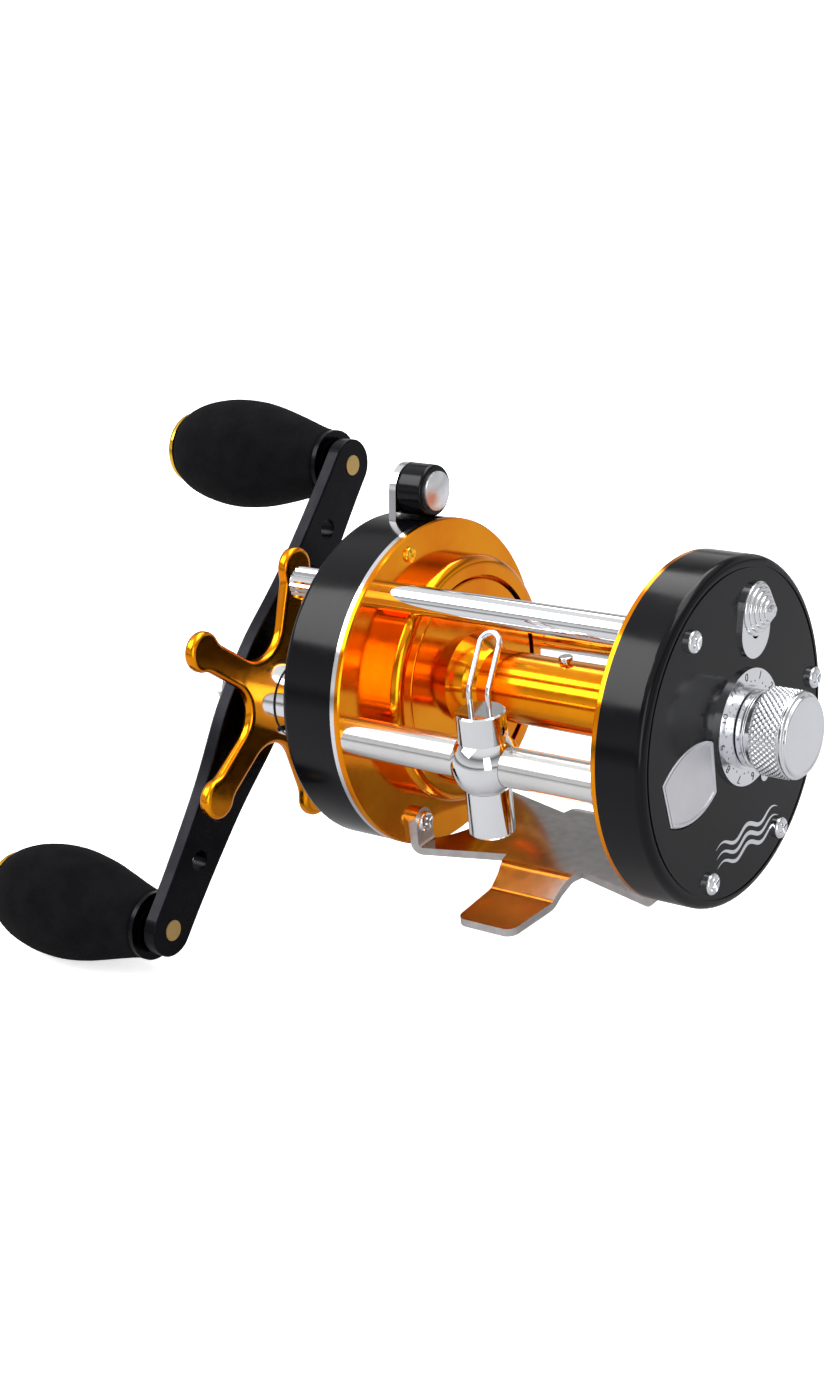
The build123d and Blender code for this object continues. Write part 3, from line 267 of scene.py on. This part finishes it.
AMBER = (0.96, 0.34, 0.008)
AMBER_SHADE = (0.88, 0.24, 0.004)
LOOKS = {
    "amber_anodised": anodised("amber_anodised", AMBER, AMBER_SHADE, centre=SPOOL),
    "star_amber": anodised("star_amber", AMBER, AMBER_SHADE, rough=(0.16, 0.24), centre=HANDLE),
    "gloss_black": lacquer("gloss_black", (0.0022, 0.0022, 0.003)),
    "black_anodised": anodised(
        "black_anodised", (0.014, 0.014, 0.016), (0.009, 0.009, 0.011), rough=(0.2, 0.3)
    ),
    "chrome": plated("chrome", (0.86, 0.87, 0.89)),
    "satin_steel": brushed("satin_steel", (0.84, 0.83, 0.82), rough=(0.16, 0.22), per_metre=9000, depth=0.2),
    "stainless_sheet": sheet_steel("stainless_sheet"),
    "hardened_steel": brushed("hardened_steel", (0.42, 0.42, 0.44), rough=(0.18, 0.3)),
    "brass": brushed("brass", (0.62, 0.42, 0.16), stretch=(1, 0.2, 1), rough=(0.28, 0.42)),
    "gold_trim": anodised("gold_trim", (1.0, 0.58, 0.05), (0.95, 0.5, 0.035), rough=(0.12, 0.2)),
    "silver_trim": lathe_turned("silver_trim", (0.86, 0.87, 0.9), centre=SPOOL),
    "hub_silver": lathe_turned("hub_silver", (0.86, 0.87, 0.9), centre=HANDLE),
    "cap_silver": brushed("cap_silver", (0.9, 0.91, 0.94), rough=(0.3, 0.42), stretch=(1, 1, 1)),
    "eva_foam": foam("eva_foam"),
    "black_nylon": moulded("black_nylon", (0.02, 0.02, 0.022)),
    "white_acetal": moulded("white_acetal", (0.75, 0.74, 0.7), rough=(0.3, 0.42)),
    "drag_fibre": carbon("drag_fibre"),
    "seal_rubber": moulded("seal_rubber", (0.012, 0.012, 0.012), rough=(0.5, 0.7)),
    "badge_silver": brushed("badge_silver", (0.78, 0.78, 0.81), rough=(0.3, 0.45), stretch=(1, 0.1, 1)),
    "engraving": moulded("engraving", (0.03, 0.03, 0.035)),
}
SLOT_OF = {part["node"]: part["material_slot"] for part in frame["record"]["subparts"]}


def paint(piece, look):
    piece.data.materials.clear()
    piece.data.materials.append(LOOKS[look])
    return piece


for name, node in NODES.items():
    paint(node, SLOT_OF[name])
for name, look in (("star_drag", "star_amber"), ("star_hub", "hub_silver"), ("button_cap", "cap_silver")):
    paint(NODES[name], look)


# ---------------------------------------------------------------- mesh tools
def piece(name, vertices, faces, look, slot, body, smooth=True, replaces=()):
    """A new mesh piece that rides on a body."""
    mesh = bpy.data.meshes.new(name)
    mesh.from_pydata([tuple(v) for v in vertices], [], faces)
    mesh.validate()
    made = bpy.data.objects.new(name, mesh)
    bpy.context.scene.collection.objects.link(made)
    if smooth:
        mesh.shade_smooth()
    return finished(made, look, body, replaces)


def finished(made, look, body, replaces=()):
    paint(made, look)
    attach(made, body)
    if replaces:
        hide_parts(*replaces)
    return made


def frozen(made):
    """Turns modifiers, or a curve or text, into a plain mesh."""
    evaluated = made.evaluated_get(bpy.context.evaluated_depsgraph_get())
    mesh = bpy.data.meshes.new_from_object(evaluated)
    if made.type == "MESH":
        made.modifiers.clear()
        made.data = mesh
        return made
    plain = bpy.data.objects.new(made.name, mesh)
    plain.matrix_world = made.matrix_world
    bpy.context.scene.collection.objects.link(plain)
    bpy.data.objects.remove(made)
    return plain


def subdivided(made, levels):
    modifier = made.modifiers.new("smooth", "SUBSURF")
    modifier.levels = modifier.render_levels = levels
    frozen(made)
    made.data.shade_smooth()
    return made


def lathe(profile, centre, segments, relief=None):
    """Vertices and faces of a closed profile of (x, radius) turned about an axis along X.
    relief(x, angle) is added to the radius."""
    vertices, faces = [], []
    rows = len(profile)
    for step in range(segments):
        angle = tau * step / segments
        for x, radius in profile:
            r = radius + (relief(x, angle) if relief else 0)
            vertices.append((x, centre[0] + r * cos(angle), centre[1] + r * sin(angle)))
    for step in range(segments):
        this, following = step * rows, (step + 1) % segments * rows
        for row in range(rows):
            after = (row + 1) % rows
            faces.append((this + row, this + after, following + after, following + row))
    return vertices, faces


def rounded(corners, steps=4):
    """A profile of (x, r, fillet) corners with each corner rounded by its own fillet."""
    points = []
    count = len(corners)
    for index, (x, r, fillet) in enumerate(corners):
        here = Vector((x, r))
        before = Vector(corners[index - 1][:2]) - here
        after = Vector(corners[(index + 1) % count][:2]) - here
        if fillet <= 0:
            points.append((x, r))
            continue
        reach = min(fillet, 0.45 * before.length, 0.45 * after.length)
        first, last = here + before.normalized() * reach, here + after.normalized() * reach
        for step in range(steps + 1):
            t = step / steps
            points.append(tuple((1 - t) ** 2 * first + 2 * t * (1 - t) * here + t * t * last))
    return points


# ---------------------------------------------------------------- foam grips
GRIP_SHAPE = (      # (share of the length from the collar to the cap, share of the greatest radius)
    (0.0, 0.585), (0.04, 0.60), (0.12, 0.66), (0.24, 0.775), (0.38, 0.905), (0.52, 0.985),
    (0.64, 1.0), (0.76, 0.965), (0.87, 0.875), (0.95, 0.765), (1.0, 0.655),
)
GRIP_HOLE_R = 2.1 * MM
FOAM_UNEVENNESS = 0.05 * MM
SKIN_R = 4 * MM             # beyond this radius it is the outside of the grip, not its hole


def foam_grip(side):
    """Egg of closed-cell foam, flattened where it meets its collar and its cap."""
    node = f"{side}_grip"
    low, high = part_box(node)
    length = high.x - low.x
    widest = (high.y - low.y) / 2 - 0.1 * MM
    centre = pivot(f"{side}_grip_spin")
    outline = [(high.x - t * length, share * widest) for t, share in GRIP_SHAPE]
    inside = [(x, GRIP_HOLE_R) for x in (low.x, (low.x + high.x) / 2, high.x)]
    vertices, faces = lathe(outline + inside, centre, 32)
    made = piece(f"{side}_foam_grip", vertices, faces, "eva_foam", "eva_foam", f"{side}_knob",
                 replaces=(node,))
    subdivided(made, 2)
    for vertex in made.data.vertices:
        offset = Vector((0, vertex.co.y - centre[0], vertex.co.z - centre[1]))
        if offset.length > SKIN_R:
            wave = noise.noise(vertex.co * 260) + 0.5 * noise.noise(vertex.co * 900)
            vertex.co += offset.normalized() * FOAM_UNEVENNESS * wave


foam_grip("upper")
foam_grip("lower")


# ---------------------------------------------------------------- tension knob and its dial
BAND_START, BAND_END = 2.9 * MM, 8.0 * MM     # of the knurled band, from the neck's open end
KNOB_BORE_R = 5.65 * MM
KNOB_NECK_R = 6.2 * MM
KNURL_DIAMONDS = 44
KNURL_DEPTH = 0.42 * MM


def tension_knob():
    """Knob with a diamond-knurled band, stepped polished end and a plain neck."""
    low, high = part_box("tension_knob")
    radius = (high.y - low.y) / 2
    face = high.x
    neck, band, step = low.x, low.x + BAND_START, low.x + BAND_END
    rows = 46
    knurled = [(band + 0.3 * MM + (step - band - 0.6 * MM) * row / rows, radius) for row in range(rows + 1)]
    corners = [
        (neck, KNOB_BORE_R, 0), (neck, 6.5 * MM, 0.3 * MM), (neck + 1.3 * MM, 6.5 * MM, 0.1 * MM),
        (neck + 1.5 * MM, KNOB_NECK_R, 0.1 * MM), (band - 0.2 * MM, KNOB_NECK_R, 0.1 * MM),
        (band, radius - 0.35 * MM, 0.15 * MM),
    ]
    end = [
        (step - 0.1 * MM, radius - 0.3 * MM, 0.1 * MM), (step, 7.0 * MM, 0.15 * MM),
        (step + 0.25 * MM, 7.0 * MM, 0.1 * MM), (step + 0.25 * MM, 7.25 * MM, 0.15 * MM),
        (face - 0.75 * MM, 7.25 * MM, 0.2 * MM), (face - 0.65 * MM, 6.75 * MM, 0.15 * MM),
        (face - 0.1 * MM, 6.75 * MM, 0.3 * MM), (face, 6.2 * MM, 0.15 * MM),
        (face - 0.12 * MM, 5.9 * MM, 0.1 * MM), (face - 0.12 * MM, 5.6 * MM, 0),
        (face - 0.12 * MM, 0.06 * MM, 0), (face - 0.12 * MM, 0.01 * MM, 0),
        (face - 3.6 * MM, 0.01 * MM, 0), (face - 3.6 * MM, KNOB_BORE_R, 0),
    ]
    profile = rounded(corners) + knurled + rounded(end)
    slant = KNURL_DIAMONDS / tau / radius

    def relief(x, angle):
        if not band + 0.25 * MM < x < step - 0.25 * MM:
            return 0
        along = (x - band) * slant
        turn = angle * KNURL_DIAMONDS / tau
        ridges = [abs((turn + sign * along) % 1 - 0.5) * 2 for sign in (-1, 1)]
        return -KNURL_DEPTH * max(ridges) ** 1.6

    vertices, faces = lathe(profile, SPOOL, 8 * KNURL_DIAMONDS, relief)
    piece("knurled_tension_knob", vertices, faces, "silver_trim", "silver_trim", "tension",
          replaces=("tension_knob",))


tension_knob()


def on_face(radius, angle, centre, height):
    """Matrix that lays flat work on the tail cover, its top pointing outwards from a centre."""
    a = radians(angle)
    out = Vector((0, cos(a), sin(a)))
    place = Vector((height, centre[0], centre[1])) + out * radius
    across = out.cross(Vector((1, 0, 0)))
    basis = Matrix((across, out, Vector((1, 0, 0)))).transposed().to_4x4()
    return Matrix.Translation(place) @ basis


DIAL_NUMBERS = 12
DIAL_THICKNESS = 0.7 * MM
NUMBER_HEIGHT = 2.0 * MM
NUMBER_RING = 8.75 * MM     # radius that the numbers stand on
DOT_RING = 7.75 * MM
DOT_RADIUS = 0.16 * MM
STEPS_PER_NUMBER = 3        # steps from one number to the next, with a dot at each step between


def dial_marks():
    """Generic numbers and dots engraved round the dial plate."""
    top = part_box("dial_plate")[0].x + DIAL_THICKNESS + 0.01 * MM
    for index in range(DIAL_NUMBERS):
        angle = 90 - 360 / DIAL_NUMBERS * index
        text = bpy.data.curves.new(f"dial_number_{index}", "FONT")
        text.body = str(index)
        text.size = NUMBER_HEIGHT
        text.align_x = "CENTER"
        text.align_y = "CENTER"
        text.extrude = 0.02 * MM
        made = bpy.data.objects.new(f"dial_number_{index}", text)
        bpy.context.scene.collection.objects.link(made)
        bpy.context.view_layer.update()
        made = frozen(made)
        made.data.transform(on_face(NUMBER_RING, angle, SPOOL, top))
        finished(made, "engraving", "frame")
    dots, faces = [], []
    places = DIAL_NUMBERS * STEPS_PER_NUMBER
    for index in range(places):
        if index % STEPS_PER_NUMBER == 0:
            continue
        matrix = on_face(DOT_RING, 90 - 360 / places * index, SPOOL, top)
        start = len(dots)
        for corner in range(8):
            a = tau * corner / 8
            dots.append(matrix @ Vector((DOT_RADIUS * cos(a), DOT_RADIUS * sin(a), 0)))
        faces.append(tuple(range(start, start + 8)))
    piece("dial_dots", dots, faces, "engraving", "seal_rubber", "frame", smooth=False)


dial_marks()


# ---------------------------------------------------------------- clicker button
CLICKER_RIDGES = 5
CLICKER_STEM_R = 1.2 * MM
CLICKER_GAP = 0.66 * MM     # between the tail cover and the button's lowest ridge


def clicker_button():
    """Stepped button turned as a cone of rounded ridges."""
    low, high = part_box("clicker_button")
    centre = ((low.y + high.y) / 2, (low.z + high.z) / 2)
    base = TAIL_FACE + CLICKER_GAP
    widest = (high.y - low.y) / 2
    profile = [(low.x, 0.01 * MM), (low.x, CLICKER_STEM_R), (base, CLICKER_STEM_R),
               (base, widest - 0.15 * MM)]
    rise = (high.x - 0.35 * MM - base) / CLICKER_RIDGES
    shrink = (widest - 1.1 * MM) / CLICKER_RIDGES
    for ridge in range(CLICKER_RIDGES):
        outer = widest - shrink * ridge
        start = base + rise * ridge
        for step in range(9):
            a = pi / 2 * step / 8
            profile.append((start + 0.75 * rise * sin(a), outer - 0.75 * shrink * (1 - cos(a))))
        profile.append((start + 0.72 * rise, outer - 0.98 * shrink))
    profile += [(high.x - 0.1 * MM, 1.0 * MM), (high.x, 0.55 * MM), (high.x, 0.01 * MM)]
    vertices, faces = lathe(profile, centre, 128)
    piece("ridged_clicker_button", vertices, faces, "chrome", "chrome", "clicker",
          replaces=("clicker_button",))


clicker_button()


# ---------------------------------------------------------------- marks on the tail cover
def ribbon(name, points, width, height, thickness, look, slot, body):
    """Thin strip laid along points on the tail cover, tapering to both ends."""
    vertices, faces = [], []
    count = len(points)
    for index, (y, z) in enumerate(points):
        before = Vector(points[max(index - 1, 0)])
        after = Vector(points[min(index + 1, count - 1)])
        along = (after - before).normalized()
        side = Vector((-along.y, along.x))
        half = width / 2 * (1 - abs(2 * index / (count - 1) - 1) ** 2.5)
        for sign, x in ((1, height), (1, height + thickness), (-1, height + thickness), (-1, height)):
            vertices.append((x, y + sign * side.x * half, z + sign * side.y * half))
    for index in range(count - 1):
        a, b = 4 * index, 4 * index + 4
        for k in range(4):
            faces.append((a + k, a + (k + 1) % 4, b + (k + 1) % 4, b + k))
    return piece(name, vertices, faces, look, slot, body, smooth=False)


WAVE_ROWS = 3
WAVE_START, WAVE_LENGTH = -9, 21        # mm along Y from the plate's middle
WAVE_DROP, WAVE_SPACING = 17.5, 1.7     # mm below the middle, and from row to row
WAVE_SWING, WAVE_COUNT = 0.75, 2.5      # mm either way, and waves in a row
WAVE_WIDTH = 0.75 * MM


def wave_marks():
    """Plain wave lines where the cover is decorated."""
    for row in range(WAVE_ROWS):
        points = []
        for step in range(61):
            t = step / 60
            swing = WAVE_SWING * sin(tau * WAVE_COUNT * t)
            y = PLATE[0] + (WAVE_START + WAVE_LENGTH * t) * MM
            z = PLATE[1] + (-WAVE_DROP - WAVE_SPACING * row - 0.9 * t + swing) * MM
            points.append((y, z))
        ribbon(f"wave_mark_{row}", points, WAVE_WIDTH, TAIL_FACE - 0.02 * MM, 0.05 * MM, "silver_trim",
               "silver_trim", "frame")


wave_marks()


# (mm inwards from the badge's edge, mm above its face)
RIM_PROFILE = ((0.0, 0.0), (0.0, 0.14), (0.12, 0.2), (0.5, 0.2), (0.62, 0.14), (0.62, 0.0))


def badge_rim():
    """Raised border round the badge, a little inside its edge."""
    low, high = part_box("badge_plate")
    centre = Vector(((low.y + high.y) / 2, (low.z + high.z) / 2))
    edge = {}
    for vertex in NODES["badge_plate"].data.vertices:
        if vertex.co.x > high.x - 0.01 * MM:
            offset = Vector(vertex.co.yz) - centre
            edge[round(offset.angle_signed(Vector((1, 0))), 4)] = offset
    outline = [edge[angle] for angle in sorted(edge) if edge[angle].length > 3 * MM]
    vertices, faces = [], []
    for offset in outline:
        for inward, height in RIM_PROFILE:
            at = centre + offset * (1 - inward * MM / offset.length)
            vertices.append((high.x + (height - 0.02) * MM, at.x, at.y))
    rows, count = len(RIM_PROFILE), len(outline)
    for step in range(count):
        this, following = step * rows, (step + 1) % count * rows
        for row in range(rows - 1):
            faces.append((this + row, this + row + 1, following + row + 1, following + row))
    piece("badge_rim", vertices, faces, "badge_silver", "badge_silver", "frame", smooth=False)


badge_rim()


# ---------------------------------------------------------------- level wind
WORM_LEAD = 8.6 * MM
WORM_HALF_LENGTH = 21.6 * MM
JOURNAL_R = 1.2 * MM
GROOVE_DEPTH, GROOVE_HALF_WIDTH = 0.7 * MM, 0.8 * MM
UNGROOVED = 1.2 * MM        # length left plain at each end of the thread


def crossed_worm():
    """Worm shaft with the two crossed grooves that carry the guide to and fro."""
    low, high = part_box("worm_shaft")
    centre = pivot("worm_spin")
    radius = (high.y - low.y) / 2
    start, end = -WORM_HALF_LENGTH, WORM_HALF_LENGTH
    rows = 216
    thread = [(start + (end - start) * row / rows, radius) for row in range(rows + 1)]
    ends = [(end, JOURNAL_R), (high.x, JOURNAL_R), (high.x, 0.01 * MM), (low.x, 0.01 * MM),
            (low.x, JOURNAL_R)]

    def groove(x, angle):
        if not start + UNGROOVED < x < end - UNGROOVED:
            return 0
        turns = x / WORM_LEAD
        offsets = [abs((turns + sign * angle / tau + 0.5) % 1 - 0.5) * WORM_LEAD for sign in (-1, 1)]
        return -GROOVE_DEPTH * max(0.0, 1 - (min(offsets) / GROOVE_HALF_WIDTH) ** 2)

    vertices, faces = lathe(thread + ends + [(start, JOURNAL_R)], centre, 48, groove)
    piece("crossed_worm", vertices, faces, "hardened_steel", "hardened_steel", "worm",
          replaces=("worm_shaft",))


SET_SCREW_R, SET_SCREW_LENGTH = 0.66 * MM, 0.5 * MM


def guide_set_screw():
    """Small set screw in the side of the guide's post, that grips the wire loop."""
    low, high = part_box("line_guide")
    x, z = (low.x + high.x) / 2 + 3.95 * MM, pivot("worm_spin")[1] + 6.2 * MM
    y = (low.y + high.y) / 2 - 0.3 * MM
    sunk = x - SET_SCREW_LENGTH
    corners = [(sunk, 0.01 * MM, 0), (sunk, SET_SCREW_R, 0), (x, SET_SCREW_R, 0.1 * MM), (x, 0.01 * MM, 0)]
    vertices, faces = lathe(rounded(corners), (y, z), 24)
    piece("guide_set_screw", vertices, faces, "hardened_steel", "hardened_steel", "guide", smooth=False)


crossed_worm()
guide_set_screw()


# ---------------------------------------------------------------- stage
SENSOR, LENS = 36, 61.28      # mm, of the camera
camera_data = bpy.data.cameras.new("camera")
camera_data.lens = LENS
camera_data.sensor_fit = "VERTICAL"
camera_data.sensor_height = SENSOR
camera_data.sensor_width = SENSOR
camera_data.clip_start = 0.01
camera = bpy.data.objects.new("camera", camera_data)
bpy.context.scene.collection.objects.link(camera)
bpy.context.scene.camera = camera

AZIMUTH, ELEVATION, ROLL = 0.6852, 0.3795, -0.1174     # radians
DISTANCE = 0.4193
SIDESTEP, RISE = -4.99 * MM, -1.10 * MM       # of the camera, across and up its picture
AIM = Vector((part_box("handle_side_plate")[0].x + 3.5 * MM, 0, PLATE[1]))
back = Vector((sin(AZIMUTH) * cos(ELEVATION), -cos(AZIMUTH) * cos(ELEVATION), sin(ELEVATION)))
level = Vector((cos(AZIMUTH), sin(AZIMUTH), 0))
upright = back.cross(level)
right = cos(ROLL) * level + sin(ROLL) * upright
up = -sin(ROLL) * level + cos(ROLL) * upright
position = AIM + DISTANCE * back + SIDESTEP * right + RISE * up
camera.matrix_world = Matrix.Translation(position) @ Matrix((right, up, back)).transposed().to_4x4()


def softbox(name, toward, distance, size, power, tint=(1, 1, 1)):
    """Large area light that looks at the reel from a direction."""
    data = bpy.data.lights.new(name, "AREA")
    data.shape = "RECTANGLE"
    data.size, data.size_y = size
    data.energy = power
    data.color = tint
    light = bpy.data.objects.new(name, data)
    aim = Vector((0, 0, PLATE[1]))
    direction = Vector(toward).normalized()
    turn = direction.to_track_quat("Z", "Y").to_matrix().to_4x4()
    light.matrix_world = Matrix.Translation(aim + direction * distance) @ turn
    bpy.context.scene.collection.objects.link(light)


softbox("key", (-0.62, -0.62, 0.85), 0.7, (0.5, 0.4), 3.4)
softbox("front", (0.9, -1.0, 0.35), 0.8, (0.3, 0.6), 1.4)
softbox("top", (0.1, 0.25, 1.0), 0.7, (0.7, 0.35), 2.6)
softbox("rear", (-0.45, 0.8, 1.2), 0.8, (0.4, 0.4), 1.6)


def floor_paper():
    """Pale paper that shows white to the camera and darker in the metal's reflections."""
    made = Finish("pale_floor", (0.9, 0.9, 0.905), roughness=0.9, Emission_Color=(1, 1, 1, 1))
    made.roughness(made.noise(40, 4), 0.8, 1.0)
    path = made.node("ShaderNodeLightPath")
    made.colours(path.outputs["Is Glossy Ray"], (0.9, 0.9, 0.905), (0.36, 0.36, 0.37), 0, 1)
    glow = made.spread(path.outputs["Is Camera Ray"], 0, 0.62, 0, 1)
    made.links.new(glow, made.shader.inputs["Emission Strength"])
    return made.material


bpy.ops.mesh.primitive_plane_add(size=60, location=(0, 0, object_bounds()[0][2] - 0.2 * MM))
floor = bpy.context.object
floor.name = "floor"
floor.data.materials.append(floor_paper())


def studio_world():
    """White surround that shows in reflections as bright and dark bands by height."""
    world = bpy.data.worlds.new("studio")
    bpy.context.scene.world = world
    world.use_nodes = True
    tree = world.node_tree
    surround = tree.nodes["Background"]
    surround.inputs["Color"].default_value = (1, 1, 1, 1)
    surround.inputs["Strength"].default_value = 1.0
    place = tree.nodes.new("ShaderNodeTexCoord")
    split = tree.nodes.new("ShaderNodeSeparateXYZ")
    lift = tree.nodes.new("ShaderNodeMapRange")
    ramp = tree.nodes.new("ShaderNodeValToRGB")
    reflected = tree.nodes.new("ShaderNodeBackground")
    blend = tree.nodes.new("ShaderNodeMixShader")
    path = tree.nodes.new("ShaderNodeLightPath")
    lift.inputs["From Min"].default_value = -1
    tree.links.new(place.outputs["Generated"], split.inputs[0])
    tree.links.new(split.outputs["Z"], lift.inputs["Value"])
    tree.links.new(lift.outputs[0], ramp.inputs[0])
    tree.links.new(ramp.outputs[0], reflected.inputs["Color"])
    tree.links.new(path.outputs["Is Glossy Ray"], blend.inputs[0])
    tree.links.new(surround.outputs[0], blend.inputs[1])
    tree.links.new(reflected.outputs[0], blend.inputs[2])
    tree.links.new(blend.outputs[0], tree.nodes["World Output"].inputs["Surface"])
    # height from straight down (0) to straight up (1), and brightness there
    bands = (
        (0.0, 0.22), (0.49, 0.3), (0.51, 0.12), (0.56, 0.75),
        (0.66, 0.5), (0.75, 0.16), (0.84, 0.8), (1.0, 0.9),
    )
    elements = ramp.color_ramp.elements
    for element, (height, value) in zip(elements, (bands[0], bands[-1])):
        element.position = height
        element.color = (value, value, value, 1)
    for height, value in bands[1:-1]:
        elements.new(height).color = (value, value, value, 1)


studio_world()
bpy.context.scene.view_settings.view_transform = "Standard"
